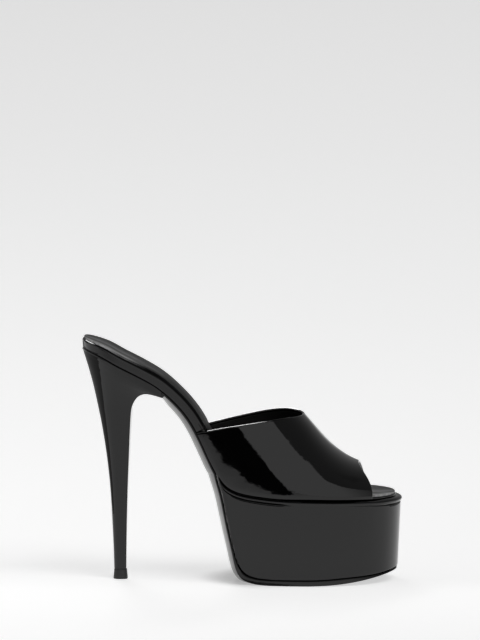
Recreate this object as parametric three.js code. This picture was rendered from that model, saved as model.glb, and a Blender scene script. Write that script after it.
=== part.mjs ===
// A right platform mule with a stiletto heel, in millimetres, standing on its sole with +Z up.
// +X points to the toe, -Y is the outer side and +Y the inner side of the foot.
import * as THREE from 'three';
import { mergeVertices } from 'three/addons/utils/BufferGeometryUtils.js';

// Lengths along X, measured from the back of the heel seat
const shoeLength = 208;
const breastPlace = 53;
const wingPlace = 75.2;
const wedgePlace = 87.7;
const cornerPlace = 123;
const springPlace = 146;
const throatPlace = 143.5;
const vampFrontPlace = 180.2;
const toeEdgePlace = 190;
const innerToeEdgePlace = 185.4;
const toeRoundStart = 158;

// Heights above the floor
const seatHeight = 152;
const platformHeight = 55;
const throatHeight = 109.6;
const vampFrontHeight = 77;

// Widths across Y, and how far the toe swings to the inner side
const seatWidth = 51;
const ballWidth = 83;
const toeSwing = 6;
const heelRoundLength = 24;

// Walls and layers
const upperWall = 1.8;
const seatBoard = 5.2;
const toeBoard = 1.3;
const sockThickness = 0.8;
const sockInset = 1.2;
const sockToeInset = 0.5;
const clearance = 0.3;
const ledge = 0.8;
const toeLedge = 4.2;
const featherTuck = 1.3;
const featherTuckHeight = 8;
const innerCollarRise = 1.4;
const footbedRound = 1.3;

// Platform and outsole
const rollRadius = 1.7;
const rollHeight = 3.4;
const rollTurnUnder = 0.6;
const grooveDepth = 0.3;
const grooveHeight = 0.4;
const wallSetback = 0.6;
const toeOverhang = 1.5;
const platformTaper = 0.045;
const soleEdge = 1.3;
const soleCrown = 3.3;
const soleGround = 3.8;
const soleToe = 0.9;
const springRadius = 225;
const soleInset = 0.3;

// Heel and its top piece
const tipLength = 8.4;
const tipWidth = 8.8;
const tipHeight = 6.5;
const tipPlace = 20.5;
const tipFlare = 0.5;

// Where one form runs into the next: from one place along X to another
const boardThins = [cornerPlace - 10, springPlace];
const footbedNarrows = [wedgePlace - 3, wedgePlace + 20];
const ledgeGrows = [wedgePlace, wedgePlace + 20];
const tuckGrows = [wedgePlace - 8, wedgePlace + 20];
const wallGrows = [wedgePlace - 12, wedgePlace + 3];
const soleThickens = [cornerPlace - 25, cornerPlace - 15];
const crownFades = [cornerPlace - 19, cornerPlace - 4];
const toeSoleThins = [springPlace + 20, shoeLength];
const heelFlankLevels = [heelRoundLength - 2, breastPlace - 4];

// Height of the feather line, where upper or footbed meets what is under it: along is a share of
// shoeLength, rise a share of the climb from the platform's top to the seat.
const featherLine = [
  { along: 0, rise: 1 },
  { along: 0.058, rise: 0.958 },
  { along: 0.115, rise: 0.892 },
  { along: 0.173, rise: 0.83 },
  { along: 0.231, rise: 0.762 },
  { along: 0.269, rise: 0.698 },
  { along: 0.308, rise: 0.616 },
  { along: 0.337, rise: 0.538 },
  { along: 0.361, rise: 0.45 },
  { along: 0.385, rise: 0.342 },
  { along: 0.404, rise: 0.252 },
  { along: 0.423, rise: 0.17 },
  { along: 0.442, rise: 0.108 },
  { along: 0.466, rise: 0.071 },
  { along: 0.5, rise: 0.045 },
  { along: 0.548, rise: 0.029 },
  { along: 0.625, rise: 0.015 },
  { along: 0.721, rise: 0.009 },
  { along: 1, rise: 0 },
];

// Plan outline: middle is a share of toeSwing toward the inner side. The width is a blend of the seat
// and ball widths: seat and ball are its shares of them.
const planOutline = [
  { along: 0, middle: 0, seat: 0.99, ball: 0 },
  { along: 0.115, middle: 0, seat: 0.995, ball: 0 },
  { along: 0.192, middle: -0.02, seat: 0.99, ball: 0 },
  { along: 0.279, middle: -0.08, seat: 0.96, ball: 0 },
  { along: 0.361, middle: -0.18, seat: 0.93, ball: 0.01 },
  { along: 0.413, middle: -0.27, seat: 0.83, ball: 0.1 },
  { along: 0.462, middle: -0.35, seat: 0.65, ball: 0.277 },
  { along: 0.519, middle: -0.32, seat: 0.4, ball: 0.535 },
  { along: 0.577, middle: -0.2, seat: 0.2, ball: 0.755 },
  { along: 0.644, middle: -0.02, seat: 0.07, ball: 0.914 },
  { along: 0.712, middle: 0.2, seat: 0, ball: 0.998 },
  { along: 0.779, middle: 0.4, seat: 0, ball: 1.007 },
  { along: 0.846, middle: 0.6, seat: 0, ball: 1 },
  { along: 1, middle: 1, seat: 0, ball: 0.964 },
];

// Back of the platform, from the tip of its wedge down to the floor: back is a share of the way from
// wedgePlace to cornerPlace, drop a share of the fall to the top of the outsole.
const backLine = [
  { back: 0, drop: 0 },
  { back: 0.0425, drop: 0.089 },
  { back: 0.0935, drop: 0.175 },
  { back: 0.13, drop: 0.255 },
  { back: 0.1615, drop: 0.333 },
  { back: 0.198, drop: 0.434 },
  { back: 0.249, drop: 0.557 },
  { back: 0.304, drop: 0.68 },
  { back: 0.353, drop: 0.774 },
  { back: 0.41, drop: 0.865 },
  { back: 0.462, drop: 0.912 },
  { back: 0.518, drop: 0.945 },
  { back: 0.592, drop: 0.97 },
  { back: 0.739, drop: 0.992 },
  { back: 1, drop: 1 },
];

// Crest of the last above the vamp: lead is a share of the way from the throat to the vamp's front,
// rise a share of the fall between them.
const crestLine = [
  { lead: -1.8, rise: 2.82 },
  { lead: -1.08, rise: 2.3 },
  { lead: -0.76, rise: 1.98 },
  { lead: -0.4, rise: 1.54 },
  { lead: -0.2, rise: 1.27 },
  { lead: 0, rise: 1 },
  { lead: 0.1, rise: 0.875 },
  { lead: 0.3, rise: 0.6 },
  { lead: 0.445, rise: 0.418 },
  { lead: 0.58, rise: 0.28 },
  { lead: 0.72, rise: 0.163 },
  { lead: 0.86, rise: 0.067 },
  { lead: 1, rise: 0 },
  { lead: 1.3, rise: -0.11 },
];

// Collar seen from the side: run is a share of the way from the wing to the throat, rise a share of
// the climb between them.
const collarLine = [
  { run: 0, rise: 0 },
  { run: 0.095, rise: 0.19 },
  { run: 0.22, rise: 0.33 },
  { run: 0.41, rise: 0.53 },
  { run: 0.6, rise: 0.74 },
  { run: 0.79, rise: 0.93 },
  { run: 0.9, rise: 1 },
  { run: 1, rise: 1 },
];

// Heel sections from the top piece up: lift is a share of the heel's height, rear and front are
// shares of breastPlace from the seat's back, dip is how far the front lies below the rear as a
// share of the heel's height, width a share of seatWidth, breast how square the front is, and top
// how much of the seat's own outline it takes.
const heelSections = [
  { lift: 0, rear: 0.387, front: 0.538, dip: 0, width: 0.172, breast: 2.4, top: 0 },
  { lift: 0.075, rear: 0.381, front: 0.54, dip: 0, width: 0.18, breast: 2.5, top: 0 },
  { lift: 0.215, rear: 0.364, front: 0.547, dip: 0, width: 0.205, breast: 2.6, top: 0 },
  { lift: 0.36, rear: 0.34, front: 0.558, dip: 0, width: 0.255, breast: 2.8, top: 0 },
  { lift: 0.505, rear: 0.298, front: 0.575, dip: 0, width: 0.34, breast: 3, top: 0 },
  { lift: 0.65, rear: 0.236, front: 0.594, dip: 0, width: 0.47, breast: 3.2, top: 0 },
  { lift: 0.73, rear: 0.192, front: 0.61, dip: 0.006, width: 0.57, breast: 3.4, top: 0 },
  { lift: 0.79, rear: 0.157, front: 0.645, dip: 0.028, width: 0.67, breast: 3.6, top: 0 },
  { lift: 0.84, rear: 0.125, front: 0.7, dip: 0.057, width: 0.76, breast: 3.8, top: 0 },
  { lift: 0.89, rear: 0.088, front: 0.785, dip: 0.097, width: 0.855, breast: 4, top: 0 },
  { lift: 0.945, rear: 0.045, front: 0.895, dip: 0.158, width: 0.94, breast: 5, top: 0.3 },
  { lift: 1, rear: 0.004, front: 1, dip: 0.188, width: 1, breast: 12, top: 1 },
];

// Exponents of the rounded ends, of the last's cross section and of the heel's sections
const toeRound = { along: 2.3, across: 2.1 };
const heelRound = { along: 2.2, across: 2.1 };
const lastSection = { up: 2, across: 2.4 };
const heelSection = { rear: 2.1, tipFront: 2.6 };

// Monotone cubic through the named columns of a table, at a value of its first column.
function readTable(rows, key, column, at) {
  const last = rows.length - 1;
  let i = 0;
  while (i < last - 1 && at > rows[i + 1][key]) i += 1;
  const slope = (k) => (rows[k + 1][column] - rows[k][column]) / (rows[k + 1][key] - rows[k][key]);
  const tangent = (k) => {
    if (k === 0) return slope(0);
    if (k === last) return slope(last - 1);
    const before = slope(k - 1);
    const after = slope(k);
    return before * after <= 0 ? 0 : (2 * before * after) / (before + after);
  };
  const step = rows[i + 1][key] - rows[i][key];
  const t = (at - rows[i][key]) / step;
  if (t < 0) return rows[0][column] + slope(0) * (at - rows[0][key]);
  if (t > 1) return rows[last][column] + slope(last - 1) * (at - rows[last][key]);
  const a = 2 * t ** 3 - 3 * t ** 2 + 1;
  const b = t ** 3 - 2 * t ** 2 + t;
  const c = t ** 3 - t ** 2;
  return a * rows[i][column] + b * step * tangent(i) + (1 - a) * rows[i + 1][column]
    + c * step * tangent(i + 1);
}

const mix = THREE.MathUtils.lerp;
const ease = THREE.MathUtils.smoothstep;
const clamp = THREE.MathUtils.clamp;
const over = (x, [from, to]) => ease(x, from, to);
const spread = (count) => Array.from({ length: count + 1 }, (_, i) => i / count);

// Height of the feather line at x, and its slope angle below the horizontal.
function featherHeight(x) {
  const rise = readTable(featherLine, 'along', 'rise', x / shoeLength);
  return platformHeight + rise * (seatHeight - platformHeight);
}

function featherAngle(x) {
  const reach = 1;
  return Math.atan2(featherHeight(x - reach) - featherHeight(x + reach), 2 * reach);
}

// Direction of a layer's thickness: straight up at the heel's back, square to the slope further on.
function layerTurn(x) {
  return featherAngle(x) * ease(x, 0, 2 * heelRoundLength);
}

function layerPoint(x, lift) {
  const turn = layerTurn(x);
  const length = lift / Math.cos(featherAngle(x) - turn);
  return { x: x + length * Math.sin(turn), z: featherHeight(x) + length * Math.cos(turn) };
}

// Half width at x of the outline drawn in by inset on the sides, heelIn at the heel and toeIn at the
// toe, and the y of its edge: side is -1 for the outer and 1 for the inner side.
function halfWidth(x, inset = 0, toeIn = inset, heelIn = inset) {
  const seat = readTable(planOutline, 'along', 'seat', x / shoeLength);
  const ball = readTable(planOutline, 'along', 'ball', x / shoeLength);
  const toeReach = shoeLength - toeIn - toeRoundStart;
  const toe = clamp((x - toeRoundStart) / toeReach, 0, 1);
  const heel = clamp((heelRoundLength - x) / (heelRoundLength - heelIn), 0, 1);
  const toeShare = (1 - toe ** toeRound.along) ** (1 / toeRound.across);
  const heelShare = (1 - heel ** heelRound.along) ** (1 / heelRound.across);
  return ((seat * seatWidth + ball * ballWidth) / 2 - inset) * toeShare * heelShare;
}

function edgeY(x, side, inset, toeIn, heelIn) {
  const middle = readTable(planOutline, 'along', 'middle', x / shoeLength) * toeSwing;
  const settled = middle * ease(x, 0, heelRoundLength);
  return settled + side * halfWidth(x, inset, toeIn, heelIn);
}

// Stations along the shoe: x is fixed, or turn is the share of a quarter turn round the heel's back
// or round the toe.
function heelStations() {
  return spread(6).slice(0, -1).map((t) => ({ heelTurn: t }));
}

function toeStations() {
  return spread(9).map((t) => ({ toeTurn: t }));
}

function stationX(station, toeIn, heelIn = 0) {
  if (station.x !== undefined) return station.x;
  if (station.toeTurn !== undefined) {
    const reach = shoeLength - toeIn - toeRoundStart;
    return toeRoundStart + reach * Math.sin((station.toeTurn * Math.PI) / 2) ** (2 / toeRound.along);
  }
  const reach = heelRoundLength - heelIn;
  return heelRoundLength - reach * Math.cos((station.heelTurn * Math.PI) / 2) ** (2 / heelRound.along);
}

// A closed ring of points: up the outer side from the first station to the last, back on the inner.
function ringOf(stations, pointAt) {
  const outer = stations.map((station, i) => pointAt(station, -1, i));
  const inner = stations.map((station, i) => pointAt(station, 1, i)).reverse();
  return [...outer, ...inner];
}

// A mesh geometry from triangles that share corners, turned to face out.
function closedGeometry(triangles) {
  const loose = new THREE.BufferGeometry();
  loose.setAttribute('position', new THREE.Float32BufferAttribute(triangles.flat(), 3));
  const merged = mergeVertices(loose, 1e-3);
  const spots = merged.getAttribute('position');
  const corner = (i) => new THREE.Vector3().fromBufferAttribute(spots, i);
  const kept = [];
  let volume = 0;
  for (let i = 0; i < merged.index.count; i += 3) {
    const [a, b, c] = [0, 1, 2].map((k) => merged.index.getX(i + k));
    if (a !== b && b !== c && c !== a) {
      kept.push([a, b, c]);
      volume += corner(a).dot(corner(b).cross(corner(c)));
    }
  }
  const faces = volume < 0 ? kept.map(([a, b, c]) => [a, c, b]) : kept;
  merged.setIndex(faces.flat());
  merged.computeVertexNormals();
  return merged;
}

const asArray = ({ x, y, z }) => [x, y, z];

function addQuad(triangles, a, b, c, d) {
  triangles.push(...[a, b, c, a, c, d].map(asArray));
}

// A solid skinned over rings of equal length, closed at both ends by strips between the two sides.
function skinRings(rings) {
  const triangles = [];
  const size = rings[0].length;
  for (let r = 0; r + 1 < rings.length; r += 1) {
    for (let i = 0; i < size; i += 1) {
      const j = (i + 1) % size;
      addQuad(triangles, rings[r][i], rings[r][j], rings[r + 1][j], rings[r + 1][i]);
    }
  }
  const strip = (ring, flip) => {
    for (let i = 0; i + 1 < size / 2; i += 1) {
      const corners = [ring[i], ring[i + 1], ring[size - 2 - i], ring[size - 1 - i]];
      addQuad(triangles, ...(flip ? corners : corners.reverse()));
    }
  };
  strip(rings[0], false);
  strip(rings[rings.length - 1], true);
  return closedGeometry(triangles);
}

// Footbed: its board thins from the seat to the toe, and its top edge is rounded.
function boardThickness(x) {
  return mix(seatBoard, toeBoard, over(x, boardThins));
}

function footbedInset(x) {
  const atWing = (upperWall + 2 * clearance) * ease(x, wingPlace - clearance, wingPlace);
  return atWing + (ledge + featherTuck / 2) * over(x, footbedNarrows);
}

// Each ring lies at a share of the rounded edge's height, or at the foot of the side where it is -1.
function makeFootbed() {
  const largestRound = 0.6;
  const steps = [...spread(12).map((t) => mix(heelRoundLength, wingPlace - 2, t)),
    wingPlace - clearance, wingPlace,
    ...spread(20).slice(1, -1).map((t) => mix(wingPlace, toeRoundStart, t))];
  const stations = [...heelStations(),
    ...steps.map((x) => ({ x })), ...toeStations()];
  const ring = (share, inset) => ringOf(stations, (station, side) => {
    const base = stationX(station, toeLedge + inset, inset);
    const board = boardThickness(base);
    const round = Math.min(footbedRound, board * largestRound);
    const lift = clearance + (share < 0 ? 0 : board - round * (1 - share));
    const spot = layerPoint(base, lift);
    const drawnIn = footbedInset(base) + (inset * round) / footbedRound;
    const place = outlinePlace(base, spot.x);
    return new THREE.Vector3(spot.x, edgeY(place, side, drawnIn, toeLedge + inset, inset), spot.z);
  });
  return skinRings([
    ring(-1, 0),
    ring(0, 0),
    ring(0.62, 0.35 * footbedRound),
    ring(1, footbedRound),
  ]);
}

// Where a layer's outline is read: near the heel's back and round the toe at its base, and between
// them at its own place.
function outlinePlace(base, here) {
  return base > heelRoundLength && here < toeRoundStart ? here : base;
}

function makeSock() {
  const toeIn = toeLedge + sockToeInset;
  const stations = [...heelStations(),
    ...spread(30).slice(0, -1).map((t) => ({ x: mix(heelRoundLength, toeRoundStart, t) })),
    ...toeStations()];
  const ring = (lift, inset) => ringOf(stations, (station, side) => {
    const base = stationX(station, toeIn + inset, sockInset + inset);
    const spot = layerPoint(base, boardThickness(base) + 2 * clearance + lift);
    const drawnIn = footbedInset(base + 1) + sockInset + inset;
    const place = outlinePlace(base, spot.x);
    const y = edgeY(place, side, drawnIn, toeIn + inset, sockInset + inset);
    return new THREE.Vector3(spot.x, y, spot.z);
  });
  return skinRings([ring(0, 0), ring(sockThickness / 2, 0), ring(sockThickness, sockThickness / 2)]);
}

// Underside of the shoe: the toe spring, the outsole's thickness, and the line on which it is laid.
function springHeight(x) {
  return Math.max(0, x - springPlace) ** 2 / (2 * springRadius);
}

function groundSole(x) {
  return mix(soleGround, soleToe, over(x, toeSoleThins));
}

function soleLine(share) {
  const tip = featherHeight(wedgePlace);
  const x = mix(wedgePlace, cornerPlace, share.back);
  return { x, z: tip - share.drop * (tip - soleGround) };
}

function backStations(count) {
  const rows = backLine.map((row, i) => ({ ...row, at: i }));
  return spread(count).map((t) => soleLine({
    back: readTable(rows, 'at', 'back', t * (rows.length - 1)),
    drop: readTable(rows, 'at', 'drop', t * (rows.length - 1)),
  }));
}

// Inset of the platform's wall at a depth under its top: rolled edge, groove, then a leaning wall.
function wallInset(depth) {
  return wallSetback + Math.max(0, depth - rollHeight) * platformTaper;
}

function wallToeInset(depth) {
  return wallInset(depth) + toeOverhang - wallSetback;
}

function makePlatform() {
  const flatSteps = spread(7).slice(1, -1).map((t) => mix(cornerPlace, toeRoundStart, t));
  const lift = (spot) => ({ x: spot.x + clearance, z: spot.z + clearance });
  const back = backStations(22).map(lift).filter((s) => featherHeight(s.x) - s.z > 2 * clearance);
  const stations = [
    ...back.map((s) => ({ x: s.x, bottom: s.z })),
    ...flatSteps.map((x) => ({ x })),
    ...toeStations(),
  ];
  const bottomOf = (station, x) => station.bottom ?? springHeight(x) + groundSole(x) + clearance;
  const ring = ({ share, depth, inset, toeIn }) => ringOf(stations, (station, side) => {
    const guess = stationX(station, toeIn);
    const top = featherHeight(guess);
    const room = top - bottomOf(station, guess);
    const scale = Math.min(1, room / (3 * rollHeight));
    const fall = depth * scale + share * Math.max(0, room - depth * scale);
    const lean = share > 0 ? wallInset(fall) : 0;
    const leanToe = share > 0 ? wallToeInset(fall) : 0;
    const x = stationX(station, toeIn + leanToe);
    return new THREE.Vector3(x, edgeY(x, side, inset * scale + lean, toeIn + leanToe, 0), top - fall);
  });
  const corner = 0.3 * rollRadius;
  const under = rollHeight + grooveHeight;
  return skinRings([
    { share: 0, depth: 0, inset: rollRadius, toeIn: rollRadius },
    { share: 0, depth: corner, inset: corner, toeIn: corner },
    { share: 0, depth: rollRadius, inset: 0, toeIn: 0 },
    { share: 0, depth: rollHeight - rollTurnUnder, inset: grooveDepth / 2, toeIn: grooveDepth },
    { share: 0, depth: rollHeight, inset: wallSetback + grooveDepth, toeIn: toeOverhang + grooveDepth },
    ...[0.05, 0.5, 1].map((share) => ({ share, depth: under, inset: 0, toeIn: 0 })),
  ].map(ring));
}

// Outsole: laid on the feather line from the breast to the wedge, then down the platform's back and
// along the floor. Its outer face is crowned across, and the crown runs out on the floor.
function solePath() {
  const shank = spread(16).slice(0, -1).map((t) => {
    const x = mix(breastPlace + clearance, wedgePlace, t);
    return { x, z: featherHeight(x) };
  });
  const flat = spread(6).slice(1, -1).map((t) => mix(cornerPlace, toeRoundStart, t));
  return [...shank, ...backStations(24), ...flat.map((x) => ({ x })), ...toeStations()];
}

function makeOutsole() {
  const path = solePath();
  const wallEnd = { inset: wallInset(platformHeight), toe: wallToeInset(platformHeight) };
  const spotOf = (station) => {
    const x = stationX(station, wallEnd.toe + soleInset);
    return { x, z: station.z ?? springHeight(x) + groundSole(x) };
  };
  const spots = path.map(spotOf);
  const normalAt = (i) => {
    const a = spots[Math.max(0, i - 1)];
    const b = spots[Math.min(spots.length - 1, i + 1)];
    const length = Math.hypot(b.x - a.x, b.z - a.z);
    return { x: (b.z - a.z) / length, z: -(b.x - a.x) / length };
  };
  const ring = ({ edge, crown, share }) => ringOf(path, (station, side, i) => {
    const { x, z } = spots[i];
    const normal = normalAt(i);
    const thick = mix(soleEdge, groundSole(x), over(x, soleThickens));
    const depth = thick * edge + soleCrown * crown * (1 - over(x, crownFades));
    const isWall = over(x, wallGrows);
    const fall = Math.max(0, featherHeight(x) - z);
    const inset = soleInset + wallInset(fall) * isWall;
    const toeIn = soleInset + wallToeInset(fall);
    const half = (edgeY(x, 1, inset, toeIn, 0) - edgeY(x, -1, inset, toeIn, 0)) / 2;
    const middle = (edgeY(x, 1, inset, toeIn, 0) + edgeY(x, -1, inset, toeIn, 0)) / 2;
    const down = x > cornerPlace ? { x: 0, z: -1 } : normal;
    const low = Math.max(z + depth * down.z, springHeight(x));
    return new THREE.Vector3(x + depth * down.x, middle + side * half * share, low);
  });
  const crownAt = (share) => 1 - share ** 2;
  return skinRings([
    { edge: 0, crown: 0, share: 1 },
    { edge: 0.8, crown: 0, share: 1 },
    ...[0.985, 0.93, 0.8, 0.62, 0.4, 0.14].map((share) => ({ edge: 1, crown: crownAt(share), share })),
  ].map(ring));
}

// The last above the feather line: height of its crest, and a point of its skin at x where height is
// the share of the way up to the crest. The skin tucks in a little at the feather line.
function crestHeight(x) {
  const lead = (x - throatPlace) / (vampFrontPlace - throatPlace);
  const rise = readTable(crestLine, 'lead', 'rise', lead);
  return vampFrontHeight + rise * (throatHeight - vampFrontHeight);
}

function skinFoot(x) {
  return featherHeight(x) + clearance / Math.cos(featherAngle(x));
}

function skinPoint(x, height, side) {
  const foot = skinFoot(x);
  const z = foot + height * (crestHeight(x) - foot);
  const low = clamp(1 - (z - foot) / featherTuckHeight, 0, 1);
  const tuck = featherTuck * low ** 2 * over(x, tuckGrows);
  const inset = tuck + (ledge - featherTuck / 2) * over(x, ledgeGrows);
  const share = Math.max(0, 1 - height ** lastSection.up) ** (1 / lastSection.across);
  const toeIn = ledge;
  const middle = (edgeY(x, 1, inset, toeIn, 0) + edgeY(x, -1, inset, toeIn, 0)) / 2;
  return new THREE.Vector3(x, mix(middle, edgeY(x, side, inset, toeIn, 0), share), z);
}

function collarHeight(x, side) {
  const run = (x - wingPlace) / (throatPlace - wingPlace);
  const start = skinFoot(wingPlace);
  const inner = side > 0 ? innerCollarRise * 6.75 * run ** 2 * (1 - run) : 0;
  return start + readTable(collarLine, 'run', 'rise', run) * (throatHeight - start) + inner;
}

// Where the collar and the toe opening cut the skin at a share of its height.
function collarX(height, side) {
  let low = wingPlace;
  let high = throatPlace;
  for (let i = 0; i < 40; i += 1) {
    const x = (low + high) / 2;
    const share = (collarHeight(x, side) - skinFoot(x)) / (crestHeight(x) - skinFoot(x));
    if (share < height) low = x;
    else high = x;
  }
  return (low + high) / 2;
}

function toeX(height, side) {
  const foot = side > 0 ? innerToeEdgePlace : toeEdgePlace;
  return foot - (foot - vampFrontPlace) * height ** (side > 0 ? 1 : 3);
}

function makeUpper() {
  const across = 13;
  const along = 34;
  const collarCrowding = 1.1;
  const lowCrowding = 1.25;
  const rowHeight = (t) => Math.sin((t * Math.PI) / 2) ** lowCrowding;
  const rows = [
    ...spread(across).map((t) => ({ height: rowHeight(t), side: -1 })),
    ...spread(across).reverse().slice(1).map((t) => ({ height: rowHeight(t), side: 1 })),
  ];
  const outer = rows.map(({ height, side }) => spread(along).map((t) => {
    const start = collarX(height, side) + clearance;
    return skinPoint(mix(start, toeX(height, side), t ** collarCrowding), height, side);
  }));
  const inwardAt = (r, c) => {
    const up = outer[Math.min(r + 1, rows.length - 1)][c].clone().sub(outer[Math.max(r - 1, 0)][c]);
    const forward = outer[r][Math.min(c + 1, along)].clone().sub(outer[r][Math.max(c - 1, 0)]);
    return up.cross(forward).normalize();
  };
  const inner = outer.map((row, r) => row.map((point, c) => {
    const step = inwardAt(r, c).multiplyScalar(upperWall);
    const atFoot = r === 0 || r === rows.length - 1;
    if (atFoot) step.z = 0;
    return point.clone().add(step);
  }));
  const triangles = [];
  const lastRow = rows.length - 1;
  for (let r = 0; r < lastRow; r += 1) {
    for (let c = 0; c < along; c += 1) {
      addQuad(triangles, outer[r][c], outer[r][c + 1], outer[r + 1][c + 1], outer[r + 1][c]);
      addQuad(triangles, inner[r][c], inner[r + 1][c], inner[r + 1][c + 1], inner[r][c + 1]);
    }
    addQuad(triangles, outer[r][0], outer[r + 1][0], inner[r + 1][0], inner[r][0]);
    addQuad(triangles, outer[r][along], inner[r][along], inner[r + 1][along], outer[r + 1][along]);
  }
  for (let c = 0; c < along; c += 1) {
    addQuad(triangles, outer[0][c], inner[0][c], inner[0][c + 1], outer[0][c + 1]);
    addQuad(triangles, outer[lastRow][c], outer[lastRow][c + 1], inner[lastRow][c + 1], inner[lastRow][c]);
  }
  return closedGeometry(triangles);
}

// Heel: D-shaped sections, level near the floor, that tilt into the slope of the seat at the top.
function heelRing(lift) {
  const read = (column) => readTable(heelSections, 'lift', column, lift);
  const base = tipHeight + clearance;
  const height = seatHeight - base;
  const rear = read('rear') * breastPlace;
  const front = read('front') * breastPlace;
  const top = read('top');
  const turns = 26;
  const points = spread(turns / 2).map((t) => {
    const angle = t * Math.PI;
    const isFront = angle > Math.PI / 2;
    const power = isFront ? read('breast') : heelSection.rear;
    const widest = 0.5 + 0.1 * (1 - top);
    const reach = Math.abs(Math.cos(angle)) ** (2 / power);
    const along = isFront ? widest + (1 - widest) * reach : widest * (1 - reach);
    const out = Math.abs(Math.sin(angle)) ** (2 / power);
    const x = mix(rear, front, along);
    const level = base + lift * height - along * read('dip') * height;
    const seatZ = featherHeight(x);
    const z = mix(level, seatZ, ease(lift, 0.985, 1));
    const own = (read('width') * seatWidth * out) / 2;
    const seatHalf = (halfWidth(x) * (isFront ? out : 1)) - soleInset * top;
    const half = mix(own, Math.max(0, seatHalf), top);
    const crown = (half / halfWidth(x)) ** 3 * over(x, heelFlankLevels);
    const flank = Math.max(z, seatZ - soleEdge);
    return { x, z: mix(z, flank, crown), half };
  });
  const outer = points.map(({ x, z, half }) => new THREE.Vector3(x, -half, z));
  const inner = points.map(({ x, z, half }) => new THREE.Vector3(x, half, z)).reverse();
  return [...outer, ...inner];
}

function makeHeel() {
  const lifts = spread(26).map((t) => t ** 0.8);
  return skinRings(lifts.map(heelRing));
}

function makeHeelTip() {
  const ring = (z, grow) => {
    const halfTurn = spread(11).map((t) => {
      const angle = t * Math.PI;
      const isFront = angle > Math.PI / 2;
      const power = isFront ? heelSection.tipFront : heelSection.rear;
      const reach = Math.sign(-Math.cos(angle)) * Math.abs(Math.cos(angle)) ** (2 / power);
      const x = tipPlace + tipLength / 2 + reach * (tipLength / 2 + grow);
      return { x, half: (tipWidth / 2 + grow) * Math.abs(Math.sin(angle)) ** (2 / power) };
    });
    return [
      ...halfTurn.map(({ x, half }) => new THREE.Vector3(x, -half, z)),
      ...halfTurn.map(({ x, half }) => new THREE.Vector3(x, half, z)).reverse(),
    ];
  };
  return skinRings([ring(0, tipFlare * 0.6), ring(0.5, tipFlare), ring(tipHeight, 0)]);
}

// Finishes: colour, roughness and metalness of each piece.
const finishes = {
  patent: { color: 0x0b0b0c, roughness: 0.08, metalness: 0 },
  lining: { color: 0x1b1b1c, roughness: 0.55, metalness: 0 },
  sole: { color: 0x101011, roughness: 0.3, metalness: 0 },
  topPiece: { color: 0x161617, roughness: 0.5, metalness: 0 },
};

function addPiece(group, name, geometry, finish) {
  const mesh = new THREE.Mesh(geometry, new THREE.MeshStandardMaterial(finish));
  mesh.name = name;
  group.add(mesh);
}

const shoe = new THREE.Group();
addPiece(shoe, 'upper', makeUpper(), finishes.patent);
addPiece(shoe, 'footbed', makeFootbed(), finishes.patent);
addPiece(shoe, 'sock', makeSock(), finishes.lining);
addPiece(shoe, 'platform', makePlatform(), finishes.patent);
addPiece(shoe, 'outsole', makeOutsole(), finishes.sole);
addPiece(shoe, 'heel', makeHeel(), finishes.patent);
addPiece(shoe, 'heel_tip', makeHeelTip(), finishes.topPiece);

// The origin is on the floor, under the middle of the shoe's own box.
const bounds = new THREE.Box3().setFromObject(shoe);
const middle = bounds.getCenter(new THREE.Vector3());
shoe.position.set(-middle.x, -middle.y, -bounds.min.z);

export default shoe;
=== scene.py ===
"""A right platform mule in black patent leather, dressed over its solids and lit like a studio photograph."""

import math

import bmesh
import bpy
import numpy as np
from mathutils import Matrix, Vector


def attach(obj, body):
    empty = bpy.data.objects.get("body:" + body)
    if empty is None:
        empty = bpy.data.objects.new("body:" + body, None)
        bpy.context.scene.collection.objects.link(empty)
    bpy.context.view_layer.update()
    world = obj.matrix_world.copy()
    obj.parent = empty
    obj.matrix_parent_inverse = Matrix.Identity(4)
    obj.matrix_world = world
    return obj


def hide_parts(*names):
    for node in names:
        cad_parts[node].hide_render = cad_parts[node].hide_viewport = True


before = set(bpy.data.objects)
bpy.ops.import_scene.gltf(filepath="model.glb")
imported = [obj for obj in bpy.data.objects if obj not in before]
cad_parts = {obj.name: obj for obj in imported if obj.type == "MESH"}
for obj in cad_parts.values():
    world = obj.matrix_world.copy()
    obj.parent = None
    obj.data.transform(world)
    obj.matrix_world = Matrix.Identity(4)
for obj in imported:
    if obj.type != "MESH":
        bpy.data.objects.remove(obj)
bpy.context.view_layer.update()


# ---- sizes in millimetres, x from the back of the heel seat, z from the floor ----
def table(names, *rows):
    """Short table with named columns."""
    return dict(zip(names.split(), np.array(rows, float).T))


ORIGIN = np.array([104.0, 1.909, 0.0])  # the row's origin in these coordinates
SHOE_LENGTH = 208.0
BREAST, WING, WEDGE, CORNER, SPRING = 53.0, 75.2, 87.7, 123.0, 146.0
THROAT, VAMP_FRONT, TOE_EDGE, INNER_TOE_EDGE, TOE_ROUND = 143.5, 180.2, 190.0, 185.4, 158.0
SEAT_HEIGHT, PLATFORM_HEIGHT, THROAT_HEIGHT, VAMP_FRONT_HEIGHT = 152.0, 55.0, 109.6, 77.0
SEAT_WIDTH, BALL_WIDTH, TOE_SWING, HEEL_ROUND = 51.0, 83.0, 6.0, 24.0
WALL, SEAT_BOARD, WAIST_BOARD, TOE_BOARD, SOCK, SOCK_INSET = 1.8, 6.0, 5.6, 1.3, 0.9, 1.2
CLEARANCE, LEDGE, TOE_LEDGE, TUCK, EDGE_TURN, EDGE_DEPTH, INNER_DROP = 0.3, 0.8, 4.2, 1.3, 3.0, 1.7, 1.6
ROLL, TOE_ROLL, ROLL_HEIGHT, WALL_SETBACK, TOE_OVERHANG, TAPER = 0.85, 1.3, 3.4, 0.6, 0.8, 0.045
ROLL_DROP, GROOVE, GROOVE_DEPTH, LIP_ROLL, FOOT_ROUND = 0.85, 0.55, 1.4, 1.8, 0.9
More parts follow.
